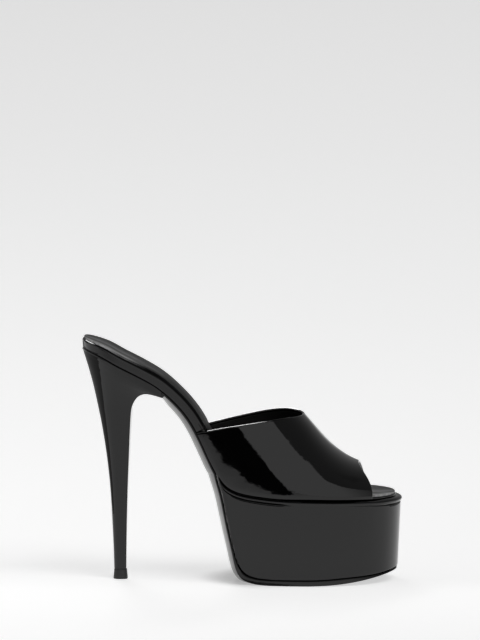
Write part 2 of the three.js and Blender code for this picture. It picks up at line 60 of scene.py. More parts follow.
SOLE_EDGE, SOLE_CROWN, SOLE_GROUND, SOLE_TOE, SPRING_RADIUS, SOLE_INSET = 1.3, 3.3, 3.8, 0.9, 225.0, 0.3
TIP_LENGTH, TIP_WIDTH, TIP_HEIGHT, TIP_PLACE, TIP_FLARE = 8.4, 8.8, 6.5, 20.5, 0.5
TOE_POWER, HEEL_POWER, END_POWER = 2.3, 2.2, 2.1  # how squarely the plan outline turns at its ends

FEATHER_LINE = table(
    "along rise",
    (0, 1), (0.058, 0.958), (0.115, 0.892), (0.173, 0.83), (0.231, 0.762), (0.269, 0.698), (0.308, 0.616),
    (0.337, 0.538), (0.361, 0.45), (0.385, 0.342), (0.404, 0.252), (0.423, 0.17), (0.442, 0.108),
    (0.466, 0.071), (0.5, 0.045), (0.548, 0.029), (0.625, 0.015), (0.721, 0.009), (1, 0),
)
PLAN_OUTLINE = table(
    "along middle seat ball",
    (0, 0, 0.99, 0), (0.115, 0, 0.995, 0), (0.192, -0.02, 0.99, 0), (0.279, -0.08, 0.96, 0),
    (0.361, -0.18, 0.93, 0.01), (0.413, -0.27, 0.83, 0.1), (0.462, -0.35, 0.65, 0.277),
    (0.519, -0.32, 0.4, 0.535), (0.577, -0.2, 0.2, 0.755), (0.644, -0.02, 0.07, 0.914),
    (0.712, 0.2, 0, 0.998), (0.779, 0.4, 0, 1.007), (0.846, 0.6, 0, 1), (1, 1, 0, 0.964),
)
BACK_LINE = table(
    "back drop",
    (0, 0), (0.0425, 0.089), (0.0935, 0.175), (0.13, 0.255), (0.1615, 0.333), (0.198, 0.434),
    (0.249, 0.557), (0.304, 0.68), (0.353, 0.774), (0.41, 0.865), (0.462, 0.912), (0.518, 0.945),
    (0.592, 0.97), (0.739, 0.992), (1, 1),
)
CREST_LINE = table(
    "lead rise",
    (-1.8, 2.82), (-1.08, 2.3), (-0.76, 1.98), (-0.4, 1.54), (-0.2, 1.27), (0, 1), (0.1, 0.875),
    (0.3, 0.6), (0.445, 0.418), (0.58, 0.28), (0.72, 0.163), (0.86, 0.067), (1, 0), (1.3, -0.11),
)
COLLAR_LINE = table(
    "run rise",
    (0, 0), (0.095, 0.19), (0.22, 0.33), (0.41, 0.53), (0.6, 0.74), (0.79, 0.93), (0.9, 1), (1, 1),
)
HEEL_SECTIONS = table(
    "lift rear front dip width top",
    (0, 0.387, 0.538, 0, 0.172, 0), (0.075, 0.381, 0.54, 0, 0.18, 0), (0.215, 0.364, 0.547, 0, 0.205, 0),
    (0.36, 0.34, 0.558, 0, 0.255, 0), (0.505, 0.298, 0.575, 0, 0.34, 0), (0.65, 0.236, 0.594, 0, 0.47, 0),
    (0.73, 0.192, 0.61, 0.006, 0.57, 0), (0.79, 0.157, 0.645, 0.028, 0.67, 0),
    (0.84, 0.125, 0.7, 0.051, 0.765, 0), (0.89, 0.088, 0.785, 0.088, 0.86, 0),
    (0.945, 0.045, 0.895, 0.148, 0.925, 0.1), (0.985, 0.012, 1, 0.198, 0.955, 0.35),
)


def monotone(knots, values, at):
    """Monotone cubic through a table's column, straight on past its ends."""
    slope = np.diff(values) / np.diff(knots)
    same_way = slope[:-1] * slope[1:] > 0
    total = np.where(same_way, slope[:-1] + slope[1:], 1)
    between = np.where(same_way, 2 * slope[:-1] * slope[1:] / total, 0)
    tangent = np.concatenate([slope[:1], between, slope[-1:]])
    i = np.clip(np.searchsorted(knots, at) - 1, 0, len(slope) - 1)
    step = knots[i + 1] - knots[i]
    t = (at - knots[i]) / step
    a, b, c = 2 * t**3 - 3 * t**2 + 1, t**3 - 2 * t**2 + t, t**3 - t**2
    inside = a * values[i] + b * step * tangent[i] + (1 - a) * values[i + 1] + c * step * tangent[i + 1]
    before = values[0] + slope[0] * (at - knots[0])
    after = values[-1] + slope[-1] * (at - knots[-1])
    return np.where(at < knots[0], before, np.where(at > knots[-1], after, inside))


class Curve:
    """One column of a table, blurred a little so that reflections flow over the piece."""

    FINE, REACH = 8, 32

    def __init__(self, rows, key, column, blur, margin=0.3):
        step = blur / self.FINE
        kernel = np.exp(-0.5 * (np.arange(-self.REACH, self.REACH + 1) / self.FINE) ** 2)
        spare = margin + self.REACH * step
        wide = np.arange(rows[key][0] - spare, rows[key][-1] + spare, step)
        blurred = np.convolve(monotone(rows[key], rows[column], wide), kernel / kernel.sum(), mode="valid")
        self.at, self.value = wide[self.REACH : -self.REACH], blurred

    def __call__(self, at):
        return np.interp(at, self.at, self.value)


def mix(a, b, t):
    return a + (b - a) * t


def ease(x, low, high):
    t = np.clip((x - low) / (high - low), 0, 1)
    return t * t * (3 - 2 * t)


# ---- the last: feather line, plan outline, crest and collar ----
feather_rise = Curve(FEATHER_LINE, "along", "rise", 0.009)
plan_middle = Curve(PLAN_OUTLINE, "along", "middle", 0.02)
plan_seat = Curve(PLAN_OUTLINE, "along", "seat", 0.02)
plan_ball = Curve(PLAN_OUTLINE, "along", "ball", 0.02)
crest_rise = Curve(CREST_LINE, "lead", "rise", 0.08)
collar_rise = Curve(COLLAR_LINE, "run", "rise", 0.04)


def feather_height(x):
    return PLATFORM_HEIGHT + feather_rise(x / SHOE_LENGTH) * (SEAT_HEIGHT - PLATFORM_HEIGHT)


def feather_angle(x):
    return np.arctan2(feather_height(x - 1) - feather_height(x + 1), 2)


def layer_point(x, lift):
    """x and z lifted off the feather line: straight up at the seat's back, square to it further on."""
    turn = feather_angle(x) * ease(x, 0, 2 * HEEL_ROUND)
    length = lift / np.cos(feather_angle(x) - turn)
    return x + length * np.sin(turn), feather_height(x) + length * np.cos(turn)


def half_width(x, inset=0.0, toe_in=0.0, heel_in=0.0):
    ball, seat = plan_ball(x / SHOE_LENGTH), plan_seat(x / SHOE_LENGTH)
    toe = np.clip((x - TOE_ROUND) / (SHOE_LENGTH - toe_in - TOE_ROUND), 0, 1)
    heel = np.clip((HEEL_ROUND - x) / (HEEL_ROUND - heel_in), 0, 1)
    ends = (1 - toe**TOE_POWER) ** (1 / END_POWER) * (1 - heel**HEEL_POWER) ** (1 / END_POWER)
    return ((seat * SEAT_WIDTH + ball * BALL_WIDTH) / 2 - inset) * ends


def middle_y(x):
    return plan_middle(x / SHOE_LENGTH) * TOE_SWING * ease(x, 0, HEEL_ROUND)


def board_thickness(x):
    rear = mix(SEAT_BOARD, WAIST_BOARD, ease(x, 38, WING + 5))
    return mix(rear, TOE_BOARD, ease(x, CORNER - 10, SPRING))


def footbed_inset(x):
    at_wing = (WALL + 2 * CLEARANCE) * ease(x, WING - CLEARANCE, WING)
    return at_wing + (LEDGE + TUCK / 2) * ease(x, WEDGE - 3, WEDGE + 20)


def spring_height(x):
    return np.maximum(0, x - SPRING) ** 2 / (2 * SPRING_RADIUS)


def ground_sole(x):
    return mix(SOLE_GROUND, SOLE_TOE, ease(x, SPRING + 20, SHOE_LENGTH))


def wall_inset(depth):
    return WALL_SETBACK + np.maximum(0, depth - ROLL_HEIGHT) * TAPER


def toe_wall_inset(depth):
    return wall_inset(depth) + TOE_OVERHANG - WALL_SETBACK


# ---- stations along the shoe ----
HEEL_TURNS, TOE_TURNS = 40, 56


def heel_x(heel_in):
    turn = np.arange(HEEL_TURNS) / HEEL_TURNS * math.pi / 2
    return HEEL_ROUND - (HEEL_ROUND - heel_in) * np.cos(turn) ** (2 / HEEL_POWER)


def toe_x(toe_in):
    turn = np.arange(TOE_TURNS + 1) / TOE_TURNS * math.pi / 2
    return TOE_ROUND + (SHOE_LENGTH - toe_in - TOE_ROUND) * np.sin(turn) ** (2 / TOE_POWER)


def steps(low, high, count):
    """Even places from low up to, not including, high."""
    return low + (high - low) * np.arange(count) / count


# ---- meshes ----
class Sheets:
    """Corners and faces of one piece, added a grid at a time."""

    def __init__(self):
        self.points, self.faces = [], []

    def grid(self, spots, around=False):
        rows, columns = spots.shape[:2]
        start = sum(len(p) for p in self.points)
        self.points.append(spots.reshape(-1, 3))
        index = start + np.arange(rows * columns).reshape(rows, columns)
        right = np.roll(index, -1, axis=1) if around else index[:, 1:]
        left = index if around else index[:, :-1]
        quads = np.stack([left[:-1], right[:-1], right[1:], left[1:]], axis=-1)
        self.faces += quads.reshape(-1, 4).tolist()


def to_row(points):
    """Millimetres from the heel's back to metres in the row's frame."""
    return (points - ORIGIN) / 1000


def make_piece(name, sheets, material, node, sharp=40):
    mesh = bpy.data.meshes.new(name)
    mesh.from_pydata(to_row(np.concatenate(sheets.points)).tolist(), [], sheets.faces)
    shape = bmesh.new()
    shape.from_mesh(mesh)
    bmesh.ops.remove_doubles(shape, verts=shape.verts, dist=2e-7)
    bmesh.ops.dissolve_degenerate(shape, edges=shape.edges, dist=1e-7)
    bmesh.ops.recalc_face_normals(shape, faces=shape.faces)
    for face in shape.faces:
        face.smooth = True
    shape.to_mesh(mesh)
    shape.free()
    mesh.set_sharp_from_angle(angle=math.radians(sharp))
    mesh.materials.append(material)
    piece = bpy.data.objects.new(name, mesh)
    bpy.context.scene.collection.objects.link(piece)
    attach(piece, "root")
    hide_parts(node)
    return piece


def wrap_piece(name, rings, material, node, sharp=40):
    """A closed piece from rings laid one after another, the first and the last drawn in to a line."""
    sheets = Sheets()
    sheets.grid(np.array(rings), around=True)
    return make_piece(name, sheets, material, node, sharp)


def ring(x, z, middle, half):
    """Up the outer side and back down the inner side."""
    outer = np.stack([x, middle - half, z], axis=-1)
    inner = np.stack([x, middle + half, z], axis=-1)
    return np.concatenate([outer, inner[::-1]])


def arc(start, end, count):
    """Angles of a rounded edge."""
    return np.linspace(math.radians(start), math.radians(end), count)


# ---- materials ----
def new_group(name, inputs, outputs):
    """Node group with a Vector input and named others: a number for a value, a tuple for a colour."""
    tree = bpy.data.node_groups.new(name, "ShaderNodeTree")
    tree.interface.new_socket("Vector", in_out="INPUT", socket_type="NodeSocketVector")
    for label, value in inputs.items():
        kind = "NodeSocketColor" if isinstance(value, tuple) else "NodeSocketFloat"
        tree.interface.new_socket(label, in_out="INPUT", socket_type=kind).default_value = value
    for label in outputs:
        kind = "NodeSocketColor" if label == "Color" else "NodeSocketFloat"
        tree.interface.new_socket(label, in_out="OUTPUT", socket_type=kind)
    return tree, tree.nodes.new("NodeGroupInput"), tree.nodes.new("NodeGroupOutput")


def noise(tree, vector, scale, detail=2.0, roughness=0.5):
    node = tree.nodes.new("ShaderNodeTexNoise")
    node.inputs["Detail"].default_value = detail
    node.inputs["Roughness"].default_value = roughness
    if isinstance(scale, (int, float)):
        node.inputs["Scale"].default_value = scale
    else:
        tree.links.new(scale, node.inputs["Scale"])
    tree.links.new(vector, node.inputs["Vector"])
    return node


def maths(tree, kind, a, b=0.0, clamp=False):
    node = tree.nodes.new("ShaderNodeMath")
    node.operation, node.use_clamp = kind, clamp
    for socket, value in zip(node.inputs, (a, b)):
        if isinstance(value, (int, float)):
            socket.default_value = value
        else:
            tree.links.new(value, socket)
    return node.outputs[0]


def span(tree, value, low, high):
    """Smooth step of a value between two limits."""
    node = tree.nodes.new("ShaderNodeMapRange")
    node.interpolation_type = "SMOOTHSTEP"
    node.inputs["From Min"].default_value, node.inputs["From Max"].default_value = low, high
    tree.links.new(value, node.inputs["Value"])
    return node.outputs["Result"]


def vector_step(tree, kind, vector, by):
    """One step of vector maths, by a fixed tuple, by a value's socket or, for a length, by None."""
    node = tree.nodes.new("ShaderNodeVectorMath")
    node.operation = kind
    tree.links.new(vector, node.inputs[0])
    if isinstance(by, tuple):
        node.inputs[1].default_value = by
    elif by is not None:
        tree.links.new(by, node.inputs["Scale"])
    return node


def blend(tree, factor, first, second):
    """Mix of two colours, each from a socket or given as a tuple."""
    node = tree.nodes.new("ShaderNodeMix")
    node.data_type = "RGBA"
    tree.links.new(factor, node.inputs["Factor"])
    for socket, colour in ((node.inputs[6], first), (node.inputs[7], second)):
        if isinstance(colour, tuple):
            socket.default_value = colour
        else:
            tree.links.new(colour, socket)
    return node.outputs[2]


def shade_ramp(tree, value, stops):
    """Grey shades between stops, each a place from 0 to 1 and its shade."""
    ramp = tree.nodes.new("ShaderNodeValToRGB")
    tree.links.new(value, ramp.inputs["Fac"])
    spots = ramp.color_ramp.elements
    while len(spots) < len(stops):
        spots.new(0.5)
    for spot, (place, shade) in zip(spots, stops):
        spot.position, spot.color = place, (shade, shade, shade, 1)
    return ramp.outputs["Color"]


def patent_film_group():
    """Lacquer film over leather: slow waviness, fine orange peel and hazy patches."""
    tree, given, result = new_group(
        "patent_film",
        {
            "Wave Scale": 55.0, "Wave Depth": 1.0, "Ripple Scale": 300.0, "Ripple Depth": 0.12,
            "Peel Scale": 900.0, "Peel Depth": 0.02, "Haze": 0.03, "Gloss Roughness": 0.04,
        },
        ("Height", "Roughness"),
    )
    place = given.outputs["Vector"]
    wave = noise(tree, place, given.outputs["Wave Scale"], 1.5)
    peel = noise(tree, place, given.outputs["Peel Scale"], 1.0)
    patch = noise(tree, place, 38.0, 4.0, 0.6)
    low = maths(tree, "MULTIPLY", wave.outputs["Fac"], given.outputs["Wave Depth"])
    ripple = noise(tree, place, given.outputs["Ripple Scale"], 2.0)
    ripple = maths(tree, "MULTIPLY", ripple.outputs["Fac"], given.outputs["Ripple Depth"])
    low = maths(tree, "ADD", low, ripple)
    fine = maths(tree, "MULTIPLY", peel.outputs["Fac"], given.outputs["Peel Depth"])
    tree.links.new(maths(tree, "ADD", low, fine), result.inputs["Height"])
    haze = maths(tree, "SUBTRACT", patch.outputs["Fac"], 0.45, clamp=True)
    haze = maths(tree, "MULTIPLY", haze, given.outputs["Haze"])
    tree.links.new(maths(tree, "ADD", haze, given.outputs["Gloss Roughness"]), result.inputs["Roughness"])
    return tree


def leather_grain_group():
    """Grain of smooth leather: small cells, finer creases and a slow change of shade."""
    tree, given, result = new_group(
        "leather_grain",
        {"Cell Scale": 1100.0, "Shade": (0.02, 0.02, 0.021, 1), "Worn Shade": (0.035, 0.035, 0.036, 1)},
        ("Color", "Height", "Roughness"),
    )
    cells = tree.nodes.new("ShaderNodeTexVoronoi")
    cells.feature = "DISTANCE_TO_EDGE"
    tree.links.new(given.outputs["Cell Scale"], cells.inputs["Scale"])
    bend = noise(tree, given.outputs["Vector"], 600.0, 2.0)
    warp = vector_step(tree, "MULTIPLY_ADD", bend.outputs["Color"], (0.0006, 0.0006, 0.0006))
    tree.links.new(given.outputs["Vector"], warp.inputs[2])
    tree.links.new(warp.outputs[0], cells.inputs["Vector"])
    pebble = maths(tree, "MINIMUM", cells.outputs["Distance"], 0.25)
    fine = noise(tree, given.outputs["Vector"], 2600.0, 3.0)
    height = maths(tree, "ADD", pebble, maths(tree, "MULTIPLY", fine.outputs["Fac"], 0.12))
    tree.links.new(height, result.inputs["Height"])
    slow = noise(tree, given.outputs["Vector"], 26.0, 4.0, 0.6)
    colour = blend(tree, slow.outputs["Fac"], given.outputs["Shade"], given.outputs["Worn Shade"])
    tree.links.new(colour, result.inputs["Color"])
    rough = maths(tree, "MULTIPLY", slow.outputs["Fac"], 0.12)
    tree.links.new(maths(tree, "ADD", rough, 0.42), result.inputs["Roughness"])
    return tree


# Painted light on the sock, as grey shades from its outer edge, 0, to its inner edge, 1: at the seat a
# painted highlight line along the outer edge and painted sheen fading inward, in the middle and at the waist
# painted shade.
SEAT_PAINTED_LIGHT = [
    (0, 0.12), (0.01, 0.4), (0.08, 0.36), (0.15, 0.15), (0.24, 0.075), (0.33, 0.2), (0.4, 0.2), (0.5, 0.12),
    (0.6, 0.065), (0.7, 0.045), (0.85, 0.035), (0.95, 0.018), (1, 0.004)]
MIDDLE_PAINTED_LIGHT = [
    (0, 0.004), (0.07, 0.01), (0.14, 0.06), (0.24, 0.14), (0.36, 0.105), (0.5, 0.08), (0.6, 0.062),
    (0.75, 0.045), (0.95, 0.028), (1, 0.006)]
WAIST_PAINTED_LIGHT = [
    (0, 0.005), (0.05, 0.018), (0.28, 0.024), (0.4, 0.05), (0.5, 0.07), (0.75, 0.065), (0.9, 0.052),
    (1, 0.012)]
# The x in metres over which each of them takes over from the one before, from the seat forward.
PAINTED_LIGHT_CHANGES = ((-0.076, -0.06, MIDDLE_PAINTED_LIGHT), (-0.056, -0.044, WAIST_PAINTED_LIGHT), (0.05, 0.08, SEAT_PAINTED_LIGHT))


def sock_painted_shading_group():
    """Sock leather with long scuffs and painted light: a painted highlight and sheen along its outer edge at
    the seat and the toe, and painted shade at the waist.
    """
    tree, given, result = new_group(
        "sock_painted_shading", {"Across": 0.5, "Scuffs": 0.5}, ("Color", "Height", "Roughness"))
    place = given.outputs["Vector"]
    grain = tree.nodes.new("ShaderNodeGroup")
    grain.node_tree = leather_grain
    tree.links.new(place, grain.inputs["Vector"])
    tree.links.new(grain.outputs["Height"], result.inputs["Height"])
    tree.links.new(grain.outputs["Roughness"], result.inputs["Roughness"])
    parts = tree.nodes.new("ShaderNodeSeparateXYZ")
    tree.links.new(place, parts.inputs[0])
    # Painted highlight and shade across the sock, changing along it from the seat to the waist and the toe.
    shade = shade_ramp(tree, given.outputs["Across"], SEAT_PAINTED_LIGHT)
    for low, high, stops in PAINTED_LIGHT_CHANGES:
        forward = span(tree, parts.outputs["X"], low, high)
        shade = blend(tree, forward, shade, shade_ramp(tree, given.outputs["Across"], stops))
    stretch = vector_step(tree, "MULTIPLY", place, (0.16, 1.0, 0.16))
    streak = noise(tree, stretch.outputs[0], 520.0, 4.0, 0.65)
    streak = span(tree, streak.outputs["Fac"], 0.35, 0.65)
    streak = maths(tree, "MULTIPLY", maths(tree, "SUBTRACT", streak, 0.5), given.outputs["Scuffs"])
    tint = vector_step(tree, "SCALE", shade, maths(tree, "ADD", streak, 1.0))
    tree.links.new(tint.outputs[0], result.inputs["Color"])
    return tree


patent_film = patent_film_group()
leather_grain = leather_grain_group()
sock_painted_shading = sock_painted_shading_group()


def new_material(name, group, values, constants, bump=0.1, bump_distance=0.001):
    """Surface whose roughness and bump come from a shared group, and its colour if the group has one."""
    material = bpy.data.materials.new(name)
    material.use_nodes = True
    tree = material.node_tree
    surface = tree.nodes["Principled BSDF"]
    for label, value in constants.items():
        surface.inputs[label].default_value = value
    place = tree.nodes.new("ShaderNodeTexCoord")
    effect = tree.nodes.new("ShaderNodeGroup")
    effect.node_tree = group
    for label, value in values.items():
        effect.inputs[label].default_value = value
    tree.links.new(place.outputs["Object"], effect.inputs["Vector"])
    relief = tree.nodes.new("ShaderNodeBump")
    relief.inputs["Strength"].default_value = bump
    relief.inputs["Distance"].default_value = bump_distance
    tree.links.new(effect.outputs["Height"], relief.inputs["Height"])
    tree.links.new(relief.outputs["Normal"], surface.inputs["Normal"])
    tree.links.new(effect.outputs["Roughness"], surface.inputs["Roughness"])
    if "Across" in effect.inputs:
        paint = tree.nodes.new("ShaderNodeAttribute")
        paint.attribute_name = "across"
        tree.links.new(paint.outputs["Fac"], effect.inputs["Across"])
    if "Color" in effect.outputs:
        tree.links.new(effect.outputs["Color"], surface.inputs["Base Color"])
    return material


PATENT = {"Base Color": (0.001, 0.001, 0.0011, 1), "IOR": 1.46}
patent = new_material("black_patent", patent_film, {}, PATENT, bump=0.25, bump_distance=0.0006)
# The sock's leather carries its painted highlight and shade.
lining = new_material(
    "sock_leather", sock_painted_shading, {"Scuffs": 0.55},
    {"Specular IOR Level": 0.04}, bump=0.35, bump_distance=0.0002,
)
vamp_inside = new_material(
    "vamp_lining_leather", leather_grain,
    {"Shade": (0.003, 0.003, 0.003, 1), "Worn Shade": (0.006, 0.006, 0.006, 1)},
    {"Specular IOR Level": 0.3}, bump=0.3, bump_distance=0.0002,
)
sole_paint = new_material(
    "sole_paint", patent_film,
    {"Wave Scale": 90.0, "Peel Scale": 500.0, "Peel Depth": 0.15, "Haze": 0.4, "Gloss Roughness": 0.15},
    {"Base Color": (0.003, 0.003, 0.003, 1), "IOR": 1.42}, bump=0.3, bump_distance=0.0004,
)
tip_rubber = new_material(
    "tip_rubber", leather_grain,
    {"Cell Scale": 2400.0, "Shade": (0.012, 0.012, 0.012, 1), "Worn Shade": (0.02, 0.02, 0.02, 1)},
    {"Specular IOR Level": 0.4}, bump=0.3, bump_distance=0.0001,
)


# ---- footbed and sock ----
def outline_place(base, here):
    """Where a lifted layer's outline is read: at its own place, but at its base round the two ends."""
    return np.where((base > HEEL_ROUND) & (here < TOE_ROUND), here, base)


def inner_drop(base):
    """How much lower the inner side lies than the outer side, most of all at the waist."""
    grown = 0.4 * ease(base, 2, 14) + 0.6 * ease(base, 30, 60)
    return INNER_DROP * grown * (1 - 0.5 * ease(base, 64, 90)) * (1 - ease(base, 100, 125))


def layer_ring(straight, lift, toe_in, heel_in, drawn_in, share=1.0):
    """A ring of the footbed or the sock, lifted off the feather line and drawn in at sides and ends."""
    base = np.concatenate([heel_x(heel_in), straight, toe_x(toe_in)])
    x, z = layer_point(base, lift(base))
    place = outline_place(base, x)
    half = half_width(place, drawn_in(base), toe_in, heel_in) * share
    spots = ring(x, z, middle_y(place), half)
    low = inner_drop(base) * share * np.minimum(1, lift(base) / 4)
    spots[len(x):, 2] -= low[::-1]
    return spots


def make_footbed():
    rim, foot_round, foot_inset = 1.8, 0.9, 0.3
    straight = np.concatenate([
        steps(HEEL_ROUND, WING - 1.2, 90), steps(WING - 1.2, WING + 0.6, 10),
        steps(WING + 0.6, TOE_ROUND, 120)])
    rim_here = lambda base: np.minimum(rim, board_thickness(base) * 0.6)

    def at(lift, inset, share=1.0):
        drawn_in = lambda base: footbed_inset(base) + inset * rim_here(base) / rim
        return layer_ring(straight, lift, TOE_LEDGE + inset, inset, drawn_in, share)

    def bottom(lift):
        return lambda base: CLEARANCE * 0.3 + lift

    def side(part):
        """Lift at a part of the way from the foot's rounding up to the rim's."""
        return lambda base: mix(1.45 - 0.4 * ease(base, WEDGE, CORNER), board_thickness(base) - 0.9, part)

    def top(angle=math.pi / 2):
        return lambda base: CLEARANCE + board_thickness(base) - rim_here(base) * (1 - math.sin(angle))

    rings = [at(bottom(0), foot_round, share) for share in (0, 0.5, 0.9)]
    for a in arc(0, 90, 5):
        inset = foot_inset + foot_round * (1 - math.sin(a))
        rings.append(at(bottom(foot_round * (1 - math.cos(a))), inset))
    rings += [at(side(part), foot_inset * (1 - part) ** 1.2) for part in (0.15, 0.4, 0.7, 0.9)]
    rings += [at(top(a), rim * (1 - math.cos(a))) for a in arc(0, 90, 9)]
    rings += [at(top(), rim, share) for share in (0.9, 0.6, 0)]
    return wrap_piece("footbed_wrap", rings, patent, "footbed")


def write_shares(mesh, name, values):
    mesh.attributes.new(name, "FLOAT", "POINT").data.foreach_set("value", np.array(values, np.float32))


def paint_across(piece):
    """Write on each corner where it lies between the sock's outer edge, 0, and its inner edge, 1."""
    spots = np.empty(len(piece.data.vertices) * 3)
    piece.data.vertices.foreach_get("co", spots)
    x, y, _ = (spots.reshape(-1, 3) * 1000 + ORIGIN).T
    base = x - (SEAT_BOARD + SOCK) * np.sin(feather_angle(x) * ease(x, 0, 2 * HEEL_ROUND))
    half = half_width(np.clip(x, 1.6, 204.0), footbed_inset(base) + SOCK_INSET, TOE_LEDGE, 0)
    across = np.clip(0.5 + 0.5 * (y - middle_y(x)) / np.maximum(half, 1), 0, 1)
    write_shares(piece.data, "across", across)


def make_sock():
    rim, crown = 0.45, 0.25
    top = SOCK + CLEARANCE
    straight = steps(HEEL_ROUND, TOE_ROUND, 220)

    def at(lift_up, inset, share=1.0, bulge=0.0):
        lift = lambda base: board_thickness(base) + CLEARANCE * 1.1 + lift_up + bulge * (1 - share**2)
        drawn_in = lambda base: footbed_inset(base + 1) + SOCK_INSET + inset
        return layer_ring(straight, lift, TOE_LEDGE + 0.5 + inset, SOCK_INSET + inset, drawn_in, share)

    rings = [at(0, 0.1, share) for share in (0, 0.6, 0.95, 1)]
    rings += [at(top - rim, 0)]
    rings += [at(top - rim * (1 - math.sin(a)), rim * (1 - math.cos(a))) for a in arc(15, 90, 6)]
    rings += [at(top, rim, share, crown) for share in (0.985, 0.95, 0.88, 0.78, 0.65, 0.5, 0.34, 0.17, 0)]
    piece = wrap_piece("sock_lining", rings, lining, "sock")
    paint_across(piece)
    return piece


# ---- platform and outsole ----
back_at = np.arange(len(BACK_LINE["back"]), dtype=float)
back_rows = dict(BACK_LINE, at=back_at)
back_run = Curve(back_rows, "at", "back", 0.55, 1.0)
back_drop = Curve(back_rows, "at", "drop", 0.55, 1.0)


def back_stations(count):
    """x and z down the platform's back, from the tip of its wedge to the floor."""
    at = np.linspace(0, back_at[-1], count)
    tip = feather_height(WEDGE)
    fix = ease(at, 0, 1.5) * (1 - ease(at, back_at[-1] - 1.5, back_at[-1]))
    run = mix(monotone(back_at, BACK_LINE["back"], at), back_run(at), fix)
    drop = mix(monotone(back_at, BACK_LINE["drop"], at), back_drop(at), fix)
    return mix(WEDGE, CORNER, run), tip - drop * (tip - SOLE_GROUND)


# Stretches of x over which the platform's top edge changes: the groove under its roll closes and opens
# again at the toe, the roll becomes a plain rounded edge, and that becomes the thicker lip at the toe.
GROOVE_CLOSES, GROOVE_OPENS = (128, 138), (197, 203)
PLAIN_BEGINS, LIP_BEGINS, LIP_SWELLS = (128, 140), (190, 202), (186, 200)
REAR_SEAM, UPPER_REAR_SEAM, REAR_LIFT = 0.6, 0.2, 0.25
SLIM_ROOM, LEAST_ROOM = 9.0, 0.35  # heights of the wedge where its roll thins down and where it ends
PAST_QUARTER = 1.6  # just over a quarter turn round the roll, where it meets the groove
FOOT_ZONE = (6, 13)  # heights between which the rounding at the foot grows
WALL_SHARES = (
    0.0, 0.002, 0.004, 0.007, 0.012, 0.03, 0.06, 0.1, 0.16, 0.24, 0.33, 0.43, 0.53, 0.63, 0.73, 0.82,
    0.9, 0.95, 0.97, 0.98, 0.986, 0.991, 0.995, 0.998, 1)


def make_platform():
    back_x, back_z = back_stations(150)
    back_x, back_z = back_x + REAR_SEAM + UPPER_REAR_SEAM * ease(back_z, 44, 54), back_z + REAR_LIFT
    kept = feather_height(back_x) - back_z > LEAST_ROOM
    back_x, back_z = back_x[kept], back_z[kept]
    flat_x = steps(CORNER, TOE_ROUND, 40)[1:]
    toe_start = len(back_x) + len(flat_x)
    along = np.concatenate([back_x, flat_x, toe_x(0)])
    ground = along[len(back_x):]
    low = np.concatenate([back_z, spring_height(ground) + ground_sole(ground) + 0.1])
    top = feather_height(along)
    room = top - low
    slim = np.minimum(1, room / SLIM_ROOM)
    groove = 1 - ease(along, *GROOVE_CLOSES) + ease(along, *GROOVE_OPENS)
    plain, before_lip = ease(along, *PLAIN_BEGINS), 1 - ease(along, *LIP_BEGINS)
    radius = mix(mix(ROLL, TOE_ROLL, plain), LIP_ROLL, ease(along, *LIP_SWELLS)) * slim
    lean = mix(0.75, 1.5, plain)
    sunk = ROLL_DROP * slim * mix(1, 0.55, plain) * before_lip
    under = sunk + 2 * radius + GROOVE * mix(0.25, 1, groove) * slim

    def roll(turn):
        """Fall below the top, inset and more inset at the toe, for a turn round the roll."""
        fall = sunk + radius * (1 - math.cos(turn))
        if turn < PAST_QUARTER:
            return fall, lean * radius * (1 - math.sin(turn)), 0
        below = (turn - math.pi / 2) / (math.pi / 2)
        to_wall = WALL_SETBACK * below * (1 - 0.6 * plain * before_lip)
        inset = mix(to_wall, GROOVE_DEPTH * below**1.5, groove * slim)
        return fall + 0.1 * below, inset, (TOE_OVERHANG - WALL_SETBACK) * (turn - PAST_QUARTER) / 1.4

    def wall(part):
        """The same for a part of the way down the wall, which is rounded at its foot and rear edge."""
        fall = under + part * (room - under)
        height = top - fall
        behind = along - np.interp(height, back_z[::-1], back_x[::-1])
        round_here = FOOT_ROUND * mix(0.3, 1, 1 - ease(height, *FOOT_ZONE))
        away = np.clip(1 - np.minimum(behind * 0.95, height - low) / round_here, 0, 1)
        foot = round_here * (1 - np.sqrt(1 - 0.96 * away**2))
        shoulder = 0.5 * max(0.0, 1 - part / 0.012) ** 2 * groove
        level = WALL_SETBACK * 0.6 * plain * before_lip * max(0.0, 1 - part / 0.5)
        return fall, wall_inset(fall) + foot + shoulder - level, TOE_OVERHANG - WALL_SETBACK

    def at(fall, inset, toe_more, across=1.0):
        toe_inset = inset + toe_more
        x = along.copy()
        x[toe_start:] = toe_x(toe_inset[toe_start:])
        half = half_width(x, inset, float(toe_inset[-1]), 0) * across
        return ring(x, top - fall, middle_y(x), half)

    rings = [at(0, lean * radius, 0, share) for share in (0, 0.6, 0.92)]
    rings += [at(*roll(turn)) for turn in (*arc(0, 90, 11), *arc(100, 180, 9))]
    rings += [at(*wall(part)) for part in WALL_SHARES]
    rings += [at(*wall(1), share) for share in (0.9, 0.5, 0)]
    return wrap_piece("platform_wrap", rings, patent, "platform")


